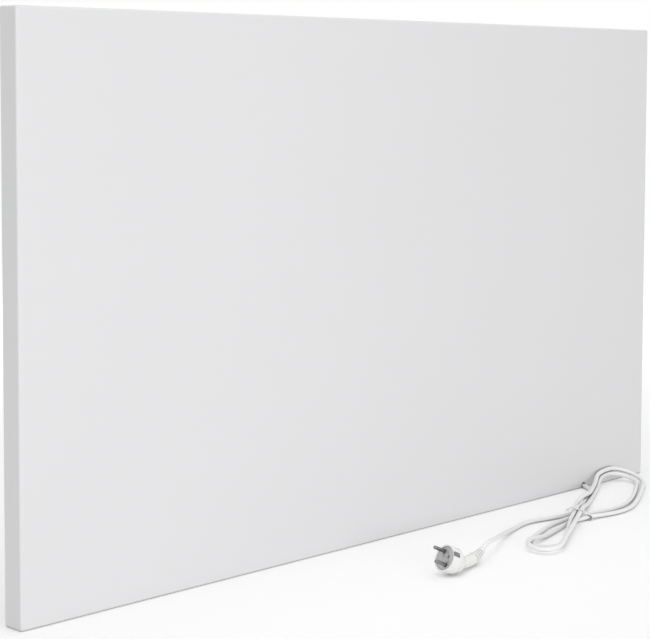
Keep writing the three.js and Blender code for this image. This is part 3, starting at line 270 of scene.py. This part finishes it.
def material(name, colour, roughness, metallic=0.0, grain=0.0, grain_scale=400.0, tone=0.03,
             tone_scale=6.0, specular=0.5, crease_shade=0.0, crease_shade_reach=0.006):
    """A surface with slow drifts of tone and gloss, fine grain and, if asked, painted shade: base
    colour darkened by ambient occlusion in creases, gaps and near other surfaces.
    """
    made = bpy.data.materials.new(name)
    made.use_nodes = True
    nodes, links = made.node_tree.nodes, made.node_tree.links
    shader = nodes["Principled BSDF"]
    shader.inputs["Metallic"].default_value = metallic
    shader.inputs["Specular IOR Level"].default_value = specular
    where = nodes.new("ShaderNodeTexCoord")
    drift = nodes.new("ShaderNodeTexNoise")
    drift.inputs["Scale"].default_value = tone_scale
    drift.inputs["Detail"].default_value = 3.0
    links.new(where.outputs["Object"], drift.inputs["Vector"])
    ramp = nodes.new("ShaderNodeValToRGB")
    darker = [c * (1 - tone) for c in colour]
    lighter = [min(1.0, c * (1 + tone)) for c in colour]
    ramp.color_ramp.elements[0].position = 0.3
    ramp.color_ramp.elements[1].position = 0.7
    ramp.color_ramp.elements[0].color = (*darker, 1)
    ramp.color_ramp.elements[1].color = (*lighter, 1)
    links.new(drift.outputs["Fac"], ramp.inputs["Fac"])
    # Painted shade: where ambient occlusion finds other surfaces close by, the base colour is
    # blended towards a darker copy of itself.
    if crease_shade:
        near = nodes.new("ShaderNodeAmbientOcclusion")
        near.samples = CREASE_SHADE_SAMPLES
        near.inputs["Distance"].default_value = crease_shade_reach
        open_share = nodes.new("ShaderNodeMapRange")
        open_share.inputs["From Min"].default_value = CREASE_SHADE_DARK
        open_share.inputs["From Max"].default_value = CREASE_SHADE_OPEN
        links.new(near.outputs["AO"], open_share.inputs["Value"])
        shade = nodes.new("ShaderNodeMix")
        shade.data_type = "RGBA"
        shade.inputs["A"].default_value = (*[c * (1 - crease_shade) for c in colour], 1)
        links.new(open_share.outputs["Result"], shade.inputs["Factor"])
        links.new(ramp.outputs["Color"], shade.inputs["B"])
        links.new(shade.outputs["Result"], shader.inputs["Base Color"])
    else:
        links.new(ramp.outputs["Color"], shader.inputs["Base Color"])
    gloss = nodes.new("ShaderNodeMapRange")
    gloss.inputs["To Min"].default_value = roughness * (1 - GLOSS_DRIFT)
    gloss.inputs["To Max"].default_value = min(1.0, roughness * (1 + GLOSS_DRIFT))
    links.new(drift.outputs["Fac"], gloss.inputs["Value"])
    links.new(gloss.outputs["Result"], shader.inputs["Roughness"])
    if grain:
        fine = nodes.new("ShaderNodeTexNoise")
        fine.inputs["Scale"].default_value = grain_scale
        fine.inputs["Detail"].default_value = 2.0
        links.new(where.outputs["Object"], fine.inputs["Vector"])
        bump = nodes.new("ShaderNodeBump")
        bump.inputs["Strength"].default_value = grain
        bump.inputs["Distance"].default_value = GRAIN_DEPTH
        links.new(fine.outputs["Fac"], bump.inputs["Height"])
        links.new(bump.outputs["Normal"], shader.inputs["Normal"])
    return made


SPANGLE_SCALE = 95.0
SPANGLE_GLOSS = (0.34, 0.50)


def spangled(name, colour):
    """Zinc-coated sheet: metal with large, faint crystal facets."""
    made = material(name, colour, 0.42, metallic=0.85, grain=0.06, grain_scale=900)
    nodes, links = made.node_tree.nodes, made.node_tree.links
    shader = nodes["Principled BSDF"]
    where = nodes.new("ShaderNodeTexCoord")
    cells = nodes.new("ShaderNodeTexVoronoi")
    cells.inputs["Scale"].default_value = SPANGLE_SCALE
    links.new(where.outputs["Object"], cells.inputs["Vector"])
    gloss = nodes.new("ShaderNodeMapRange")
    gloss.inputs["To Min"].default_value, gloss.inputs["To Max"].default_value = SPANGLE_GLOSS
    links.new(cells.outputs["Color"], gloss.inputs["Value"])
    links.new(gloss.outputs["Result"], shader.inputs["Roughness"])
    return made


# The white paint, sheath and plastic carry painted shade: ambient occlusion darkens them in
# creases, between strands and where they meet the floor.
PAINT = material(
    "white_paint", (0.79, 0.79, 0.80), 0.42, grain=0.05, grain_scale=700, tone=0.004, tone_scale=3,
    specular=0.25, crease_shade=0.35, crease_shade_reach=0.005)
SHEATH = material(
    "white_sheath", (0.90, 0.90, 0.895), 0.3, grain=0.10, grain_scale=500, tone=0.012, crease_shade=0.62)
PLASTIC = material(
    "white_plastic", (0.88, 0.88, 0.87), 0.26, grain=0.06, grain_scale=600, tone=0.012, crease_shade=0.6)
GREY = material("grey_plastic", (0.32, 0.33, 0.34), 0.5, grain=0.25, grain_scale=900, tone=0.05)
INSERT = material("pin_carrier", (0.55, 0.55, 0.545), 0.42, grain=0.12, grain_scale=700, tone=0.04)
# Painted reflection: the metal of the pins and earth clips is made dark, standing in for the dark
# surroundings that bright steel would mirror.
PIN_METAL = material(
    "pin_metal", (0.26, 0.262, 0.268), 0.3, metallic=1.0, grain=0.05, tone=0.05, tone_scale=80)
RUBBER = material("black_rubber", (0.02, 0.02, 0.022), 0.75, grain=0.3, grain_scale=800, tone=0.2)
STEEL = material(
    "bright_steel", (0.46, 0.465, 0.47), 0.24, metallic=1.0, grain=0.05, tone=0.04, tone_scale=60)
BRASS = material(
    "brass", (0.58, 0.40, 0.12), 0.3, metallic=1.0, grain=0.05, tone=0.08, tone_scale=60)
ZINC = spangled("zinc_steel", (0.52, 0.53, 0.545))
FILM = material("film", (0.45, 0.20, 0.04), 0.2, tone=0.06, grain=0.04)
TRACK = material(
    "resistance_foil", (0.10, 0.105, 0.115), 0.35, metallic=0.8, tone=0.08, grain=0.08)
FOIL = material(
    "bright_foil", (0.72, 0.73, 0.74), 0.16, metallic=1.0, tone=0.02, grain=0.35, grain_scale=60)
WOOL = material(
    "mineral_wool", (0.55, 0.46, 0.24), 0.95, tone=0.14, tone_scale=40, grain=0.9, grain_scale=260)
BROWN = material("brown_core", (0.14, 0.055, 0.02), 0.45, grain=0.1, tone=0.06)
BLUE = material("blue_core", (0.025, 0.11, 0.39), 0.45, grain=0.1, tone=0.06)
GREEN = material("green_core", (0.20, 0.33, 0.035), 0.45, grain=0.1, tone=0.06)

SLOT_MATERIALS = {
    "white_paint": PAINT, "zinc_steel": ZINC, "bright_steel": STEEL, "brass": BRASS,
    "white_plastic": PLASTIC, "white_sheath": SHEATH, "grey_plastic": GREY, "black_rubber": RUBBER,
    "film": FILM, "resistance_foil": TRACK, "bright_foil": FOIL, "mineral_wool": WOOL,
    "brown_core": BROWN, "blue_core": BLUE, "green_core": GREEN,
}

for part in frame["record"]["subparts"]:
    node = frame["nodes"][part["node"]]
    for slot in node.material_slots:
        slot.material = SLOT_MATERIALS[part["material_slot"]]

# ---------------------------------------------------------------- pieces


def add_mesh(name, vertices, faces, surface, smooth_below=40):
    mesh = bpy.data.meshes.new(name)
    mesh.from_pydata([tuple(v) for v in vertices], [], faces)
    mesh.validate()
    work = bmesh.new()
    work.from_mesh(mesh)
    bmesh.ops.recalc_face_normals(work, faces=work.faces)
    for face in work.faces:
        face.smooth = True
    for edge in work.edges:
        if len(edge.link_faces) == 2:
            edge.smooth = edge.calc_face_angle() < math.radians(smooth_below)
    work.to_mesh(mesh)
    work.free()
    mesh.materials.append(surface)
    piece = bpy.data.objects.new(name, mesh)
    bpy.context.scene.collection.objects.link(piece)
    return piece


def loft(rings, closed_ends=True):
    """Vertices and faces of a skin over rings of equal counts of points."""
    count = len(rings[0])
    vertices = [p for ring in rings for p in ring]
    last = (len(rings) - 1) * count
    faces = [
        (start + i, start + (i + 1) % count, start + count + (i + 1) % count, start + count + i)
        for start in range(0, last, count) for i in range(count)]
    if closed_ends:
        faces += [tuple(range(count)), tuple(range(last, last + count))]
    return vertices, faces


# ---------------------------------------------------------------- the mains cord

def make_cord():
    line = cord_line()
    curve = bpy.data.curves.new("mains_cord", "CURVE")
    curve.dimensions = "3D"
    curve.bevel_depth = CORD / 2 * MM
    curve.bevel_resolution = 4
    curve.use_fill_caps = True
    spline = curve.splines.new("POLY")
    spline.points.add(len(line) - 1)
    for point, at in zip(spline.points, line):
        point.co = (*place(*at), 1)
    spline.use_smooth = True
    curve.materials.append(SHEATH)
    piece = bpy.data.objects.new("mains_cord", curve)
    bpy.context.scene.collection.objects.link(piece)
    return piece, line


# ---------------------------------------------------------------- the plug

HEAD_AT = (515, -180, 23.6)
HEAD_TILT = 25
HEAD_YAW = -8
FACE_ROLL = -32
HEAD_RADIUS = 17.5
RECESS_RADIUS = 15.1
RECESS_DEPTH = 5.5
HEAD_DEPTH = 16
HEAD_STRAIGHT = 20
SHOULDER = 17
NECK_RADIUS = 8
RIBS = 5
RIB_PITCH = 5.8
TIP_LENGTH = 3
TIP_RADIUS = 4.3
PIN_RADIUS = 2.4
PIN_LENGTH = 19
PIN_SPACING = 19
CARRIER_FRONT = 1.0
SIDES = 48
HEAD_HANDLE = 12
TIP_HANDLE = 25
TIP_INSET = Vector((-0.2, -0.05, -0.07))
BODY_POINTS = 200
BODY_STEP = 0.5
SHOULDER_STEPS = 16
SHOULDER_POWER = 2.1
RIB_WIDTH = 2.9
RIB_EDGE = 0.4
RIB_GAP_FIRST, RIB_GAP_LAST = 4.2, 3.7
CHANNEL_DEPTH = 10.6
CHANNEL_FLOOR, CHANNEL_TOP = 15.9, 19
CHANNEL_HALF_WIDTH = 3.1
PIN_ROOT = 4.2
PIN_HOLE_RADIUS, PIN_HOLE_DEPTH = 2.7, 4.4
EARTH_HOLE_RADIUS, EARTH_HOLE_DEPTH = 2.5, 5
EARTH_HOLE_Y = -5
CLIP_START_X = 0.4
CLIP_LENGTH = 9.6
CLIP_STEPS = 12
CLIP_RADIUS = 16.2
CLIP_BOW = 0.9
CLIP_SECTION = ((0, -2.5), (0, 2.5), (0.5, 2.3), (0.5, -2.3))

HEAD_TURN = (Matrix.Rotation(math.radians(HEAD_YAW), 3, "Z")
             @ Matrix.Rotation(math.radians(HEAD_TILT), 3, "Y"))
FACE_TURN = HEAD_TURN @ Matrix.Rotation(math.radians(FACE_ROLL), 3, "X")


def on_face(x, y, z):
    """A point of the plug's face frame: x back from the rim, z along the line of the pins."""
    return place(*(Vector(HEAD_AT) + FACE_TURN @ Vector((x, y, z))))


def bezier(points, t):
    p0, p1, p2, p3 = points
    return p0 * (1 - t) ** 3 + 3 * p1 * t * (1 - t) ** 2 + 3 * p2 * t ** 2 * (1 - t) + p3 * t ** 3


def body_line():
    """The middle line from the head's straight part to the relief's tip on the cord."""
    back = HEAD_TURN @ Vector((1, 0, 0))
    start = Vector(HEAD_AT) + back * HEAD_STRAIGHT
    tip = Vector(TAIL[-1]) + TIP_INSET
    onward = (Vector(TAIL[-2]) - Vector(TAIL[-1])).normalized()
    handles = (start, start + back * HEAD_HANDLE, tip - onward * TIP_HANDLE, tip)
    return respaced([bezier(handles, i / BODY_POINTS) for i in range(BODY_POINTS + 1)], BODY_STEP)


def ring_about(centre, along, radius):
    side = Vector((0, 0, 1)).cross(along).normalized()
    up = along.cross(side)
    return [place(*(centre + radius * (math.cos(angle) * side + math.sin(angle) * up)))
            for angle in (2 * math.pi * i / SIDES for i in range(SIDES))]


def make_plug_body():
    """The moulded body: a rim and recess for its carrier, a round head, shoulder, neck and ribs."""
    back = HEAD_TURN @ Vector((1, 0, 0))
    profile = [
        (RECESS_DEPTH, RECESS_RADIUS - 0.1), (0.5, RECESS_RADIUS), (0.12, RECESS_RADIUS + 0.12),
        (0, RECESS_RADIUS + 0.45), (0, HEAD_RADIUS - 0.9), (0.25, HEAD_RADIUS - 0.3),
        (0.9, HEAD_RADIUS),
        (HEAD_DEPTH * 0.5, HEAD_RADIUS + 0.05), (HEAD_DEPTH - 1.2, HEAD_RADIUS),
        (HEAD_DEPTH - 0.3, HEAD_RADIUS - 0.35), (HEAD_DEPTH + 0.2, HEAD_RADIUS - 1.1),
        (HEAD_STRAIGHT - 1, HEAD_RADIUS - 2.1),
    ]
    rings = [ring_about(Vector(HEAD_AT) + back * x, back, radius) for x, radius in profile]
    line = body_line()
    length = length_of(line)

    def add(along, radius):
        i = min(max(round(along / length * (len(line) - 1)), 0), len(line) - 1)
        before, after = line[max(i - 1, 0)], line[min(i + 1, len(line) - 1)]
        rings.append(ring_about(line[i], (after - before).normalized(), radius))

    full = HEAD_RADIUS - 2.3
    for i in range(SHOULDER_STEPS + 1):
        part = i / SHOULDER_STEPS
        add(SHOULDER * part, full - (full - NECK_RADIUS) * (1 - (1 - part) ** SHOULDER_POWER))
    ribs_start = length - TIP_LENGTH - RIBS * RIB_PITCH
    waist = (SHOULDER + ribs_start) / 2
    add(waist, NECK_RADIUS - 0.35)
    add(ribs_start - 2, NECK_RADIUS - 0.1)
    for i in range(RIBS):
        start = ribs_start + i * RIB_PITCH
        share = i / (RIBS - 1)
        radius = (NECK_RADIUS + 0.1) * (1 - share) + (TIP_RADIUS + 0.9) * share
        gap = RIB_GAP_FIRST * (1 - share) + RIB_GAP_LAST * share
        for along, size in (
                (0, gap), (0, radius - RIB_EDGE), (0.5, radius), (RIB_WIDTH - 0.5, radius),
                (RIB_WIDTH, radius - RIB_EDGE), (RIB_WIDTH, gap)):
            add(start + along, size)
    add(length - TIP_LENGTH, TIP_RADIUS + 0.5)
    add(length - 1, TIP_RADIUS)
    add(length, TIP_RADIUS - 0.6)
    body = add_mesh("plug_moulding", *loft(rings), PLASTIC, smooth_below=50)
    channels = [box_piece(
        (-1, CHANNEL_DEPTH), (side * CHANNEL_FLOOR, side * CHANNEL_TOP),
        (-CHANNEL_HALF_WIDTH, CHANNEL_HALF_WIDTH)) for side in (-1, 1)]
    return cut(body, channels)


def box_piece(xs, ys, zs):
    corners = [on_face(x, y, z) for x in xs for y in ys for z in zs]
    faces = [(0, 1, 3, 2), (4, 6, 7, 5), (0, 4, 5, 1), (2, 3, 7, 6), (0, 2, 6, 4), (1, 5, 7, 3)]
    return add_mesh("cutter", corners, faces, PLASTIC)


def rod_piece(name, profile, y, z, surface, sides=24):
    """A round piece along the plug's axis, from (x, radius) pairs."""
    angles = [2 * math.pi * i / sides for i in range(sides)]
    rings = [[on_face(x, y + radius * math.cos(angle), z + radius * math.sin(angle))
              for angle in angles] for x, radius in profile]
    return add_mesh(name, *loft(rings), surface)


def cut(piece, cutters):
    """The piece with the cutters' shapes taken out of it."""
    for cutter in cutters:
        taken = piece.modifiers.new("cut", "BOOLEAN")
        taken.operation = "DIFFERENCE"
        taken.solver = "EXACT"
        taken.object = cutter
    bpy.context.view_layer.update()
    seen = piece.evaluated_get(bpy.context.evaluated_depsgraph_get())
    mesh = bpy.data.meshes.new_from_object(seen)
    piece.modifiers.clear()
    piece.data = mesh
    for cutter in cutters:
        bpy.data.objects.remove(cutter)
    return piece


def make_carrier():
    """The pin carrier: a disc with a hole for each pin and one for the socket's earth pin."""
    disc = rod_piece("pin_carrier", [
        (RECESS_DEPTH - 0.3, 14.7), (CARRIER_FRONT + 0.6, 14.8), (CARRIER_FRONT + 0.2, 14.4),
        (CARRIER_FRONT + 0.2, 13.2), (CARRIER_FRONT, 12.9)], 0, 0, INSERT, sides=SIDES)
    holes = [rod_piece("cutter", [(-1, PIN_HOLE_RADIUS), (PIN_HOLE_DEPTH, PIN_HOLE_RADIUS)],
                       0, end * PIN_SPACING / 2, INSERT) for end in (-1, 1)]
    holes.append(rod_piece(
        "cutter", [(-1, EARTH_HOLE_RADIUS), (EARTH_HOLE_DEPTH, EARTH_HOLE_RADIUS)],
        EARTH_HOLE_Y, 0, INSERT))
    return cut(disc, holes)


def make_pin(name, end):
    """A round pin with a domed tip."""
    tip = CARRIER_FRONT - PIN_LENGTH
    profile = [(PIN_ROOT, PIN_RADIUS), (tip + 2, PIN_RADIUS), (tip + 1, PIN_RADIUS - 0.25),
               (tip + 0.35, PIN_RADIUS - 0.8), (tip, PIN_RADIUS - 1.5)]
    return rod_piece(name, profile, 0, end * PIN_SPACING / 2, PIN_METAL)


def make_earth_clip(name, side):
    """A springy strip in the head's side channel, bowed outwards."""
    rings = []
    for i in range(CLIP_STEPS + 1):
        part = i / CLIP_STEPS
        bow = CLIP_RADIUS + CLIP_BOW * math.sin(math.pi * part)
        rings.append([on_face(CLIP_START_X + CLIP_LENGTH * part, side * (bow + dy), z)
                      for dy, z in CLIP_SECTION])
    return add_mesh(name, *loft(rings), PIN_METAL, smooth_below=30)


TIE_ALONG = -20
TIE_WIDTH = 4.6
TIE_SHEET = 0.7
TIE_CLEARANCE = 0.3
TIE_LOWEST = 0.05
TIE_SIDES = 64
TIE_ACROSS_REACH = 18
WIRE_STEPS = 40
WIRE_RADIUS = 0.75
WIRE_TURNS = 1.6
WIRE_REACH = 15
WIRE_RISE, WIRE_DROP = 3.4, 2
WIRE_SPREAD, WIRE_FLARE = 0.85, 2.2


def make_tie(line):
    """The twist tie: a flat band round the hank, its two ends twisted and then splayed."""
    inside = []
    for p in line:
        dx, dy = p.x - TIE_X, p.y - TIE_Y
        a = dx * math.cos(HEADING) + dy * math.sin(HEADING)
        b = dy * math.cos(HEADING) - dx * math.sin(HEADING)
        if abs(a - TIE_ALONG) < TIE_WIDTH / 2 + 1.5 and abs(b) < TIE_ACROSS_REACH:
            inside.append((b, p.z))
    outline = []
    for i in range(TIE_SIDES):
        angle = 2 * math.pi * i / TIE_SIDES
        across, up = math.cos(angle), math.sin(angle)
        b, z = max(inside, key=lambda q: q[0] * across + q[1] * up)
        outline.append((b, z, across, up))
    first, last = TIE_ALONG - TIE_WIDTH / 2, TIE_ALONG + TIE_WIDTH / 2
    rings = []
    for a, distance in (
            (first, 0.1), (first, TIE_SHEET), (first + 0.5, TIE_SHEET + 0.15),
            (last - 0.5, TIE_SHEET + 0.15), (last, TIE_SHEET), (last, 0.1)):
        clear = CORD / 2 + distance + TIE_CLEARANCE
        rings.append([place(*on_hank(a, b + clear * across, max(z + clear * up, TIE_LOWEST)))
                      for b, z, across, up in outline])
    vertices, faces = loft(rings, closed_ends=False)
    count = len(outline)
    inner = (len(rings) - 1) * count
    faces += [(i, (i + 1) % count, inner + (i + 1) % count, inner + i) for i in range(count)]
    crown = max(z for b, z in inside) + CORD / 2 + 1.2
    for end in (0, 1):
        wire = []
        for i in range(WIRE_STEPS + 1):
            part = i / WIRE_STEPS
            angle = 2 * math.pi * (WIRE_TURNS * part + end / 2)
            spread = WIRE_SPREAD + WIRE_FLARE * smoothstep(part, 0.7, 1)
            arch = WIRE_RISE * math.sin(math.pi * min(part * 1.25, 1)) - WIRE_DROP * part
            wire.append(on_hank(
                TIE_ALONG + spread * math.cos(angle), 2 + WIRE_REACH * part,
                crown - 0.6 + arch + spread * math.sin(angle)))
        skin, sides = loft([
            ring_about(point, (wire[min(i + 1, WIRE_STEPS)] - wire[max(i - 1, 0)]).normalized(),
                       WIRE_RADIUS)
            for i, point in enumerate(wire)])
        faces += [tuple(len(vertices) + v for v in side) for side in sides]
        vertices += skin
    return add_mesh("twist_tie", vertices, faces, PLASTIC, smooth_below=60)


cord, line = make_cord()
plug_body = make_plug_body()
carrier = make_carrier()
live_pin = make_pin("live_pin_turned", 1)
neutral_pin = make_pin("neutral_pin_turned", -1)
left_clip = make_earth_clip("earth_clip_left", 1)
right_clip = make_earth_clip("earth_clip_right", -1)
tie = make_tie(line)

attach(cord, "root")
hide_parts("cord_lead", "cord_hank", "cord_tail")
for piece, node, slot in (
        (plug_body, "plug_body", "white_plastic"), (live_pin, "live_pin", "bright_steel"),
        (neutral_pin, "neutral_pin", "bright_steel"), (tie, "cord_tie", "white_plastic"),
        (carrier, "plug_insert", "grey_plastic"), (left_clip, "earth_contact_left", "bright_steel"),
        (right_clip, "earth_contact_right", "bright_steel")):
    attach(piece, "root")
    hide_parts(node)

# ---------------------------------------------------------------- floor, world and lights

FLOOR_HALF_SIZE = 12
FLOOR_COLOUR = 0.86
FLOOR_LIFT_NEAR = 0.215
FLOOR_LIFT_FAR = 0.48
LIFT_FROM, LIFT_TO = 0.75, 2.5
WORLD_DIM = 0.40
WORLD_BRIGHT = 0.75
WORLD_BRIGHT_SIDE = Vector((-0.5, -0.85, 0.0)).normalized()


def math_node(nodes, links, operation, first, second):
    made = nodes.new("ShaderNodeMath")
    made.operation = operation
    for socket, value in zip(made.inputs, (first, second)):
        if isinstance(value, (int, float)):
            socket.default_value = value
        else:
            links.new(value, socket)
    return made.outputs[0]


def seen_directly(nodes, links):
    """1 for a ray from the camera, from a mirror-like surface or through glass, otherwise 0."""
    seen = nodes.new("ShaderNodeLightPath")
    either = math_node(
        nodes, links, "MAXIMUM", seen.outputs["Is Camera Ray"], seen.outputs["Is Glossy Ray"])
    return math_node(nodes, links, "MAXIMUM", either, seen.outputs["Is Transmission Ray"])


def make_floor():
    """A pale floor, lifted towards white where it is seen, and more so away from the heater."""
    size = FLOOR_HALF_SIZE
    vertices = [(-size, -size, 0), (size, -size, 0), (size, size, 0), (-size, size, 0)]
    surface = bpy.data.materials.new("floor")
    surface.use_nodes = True
    nodes, links = surface.node_tree.nodes, surface.node_tree.links
    shader = nodes["Principled BSDF"]
    shader.inputs["Base Color"].default_value = (FLOOR_COLOUR, FLOOR_COLOUR, FLOOR_COLOUR, 1)
    shader.inputs["Roughness"].default_value = 0.9
    shader.inputs["Specular IOR Level"].default_value = 0.1
    shader.inputs["Emission Color"].default_value = (1, 1, 1, 1)
    either = seen_directly(nodes, links)
    where = nodes.new("ShaderNodeTexCoord")
    reach = nodes.new("ShaderNodeVectorMath")
    reach.operation = "LENGTH"
    links.new(where.outputs["Object"], reach.inputs[0])
    lift = nodes.new("ShaderNodeMapRange")
    lift.interpolation_type = "SMOOTHSTEP"
    lift.inputs["From Min"].default_value = LIFT_FROM
    lift.inputs["From Max"].default_value = LIFT_TO
    lift.inputs["To Min"].default_value = FLOOR_LIFT_NEAR
    lift.inputs["To Max"].default_value = FLOOR_LIFT_FAR
    links.new(reach.outputs["Value"], lift.inputs["Value"])
    strength = math_node(nodes, links, "MULTIPLY", either, lift.outputs["Result"])
    links.new(strength, shader.inputs["Emission Strength"])
    add_mesh("floor", vertices, [(0, 1, 2, 3)], surface)


def make_world():
    """White to look at; to light by, brighter on the left and in front than on the right."""
    world = bpy.data.worlds.new("studio")
    bpy.context.scene.world = world
    world.use_nodes = True
    nodes, links = world.node_tree.nodes, world.node_tree.links
    background = nodes["Background"]
    background.inputs["Color"].default_value = (1, 1, 1, 1)
    either = seen_directly(nodes, links)
    where = nodes.new("ShaderNodeTexCoord")
    lean = nodes.new("ShaderNodeVectorMath")
    lean.operation = "DOT_PRODUCT"
    lean.inputs[1].default_value = WORLD_BRIGHT_SIDE
    links.new(where.outputs["Generated"], lean.inputs[0])
    light = nodes.new("ShaderNodeMapRange")
    light.inputs["From Min"].default_value = -1.0
    light.inputs["From Max"].default_value = 1.0
    light.inputs["To Min"].default_value = WORLD_DIM
    light.inputs["To Max"].default_value = WORLD_BRIGHT
    links.new(lean.outputs["Value"], light.inputs["Value"])
    strength = nodes.new("ShaderNodeMix")
    strength.data_type = "FLOAT"
    links.new(either, strength.inputs["Factor"])
    links.new(light.outputs["Result"], strength.inputs["A"])
    strength.inputs["B"].default_value = 1.0
    links.new(strength.outputs["Result"], background.inputs["Strength"])


def area_light(name, at, towards, size, power):
    data = bpy.data.lights.new(name, "AREA")
    data.shape = "RECTANGLE"
    data.size, data.size_y = size
    data.energy = power
    lamp = bpy.data.objects.new(name, data)
    lamp.location = at
    lamp.rotation_euler = (Vector(towards) - Vector(at)).to_track_quat("-Z", "Y").to_euler()
    bpy.context.scene.collection.objects.link(lamp)


make_floor()
make_world()
area_light("front_softbox", (-1.3, -2.7, 0.4), (-0.4, 0, 0.1), (2.2, 0.7), 23)
area_light("top_softbox", (-0.2, -0.2, 3.2), (0, 0, 0), (3.0, 2.4), 26)
area_light("rear_softbox", (0.6, 3.0, 1.8), (0, 0, 0.3), (2.4, 1.6), 14)

bpy.context.scene.view_settings.view_transform = "Standard"
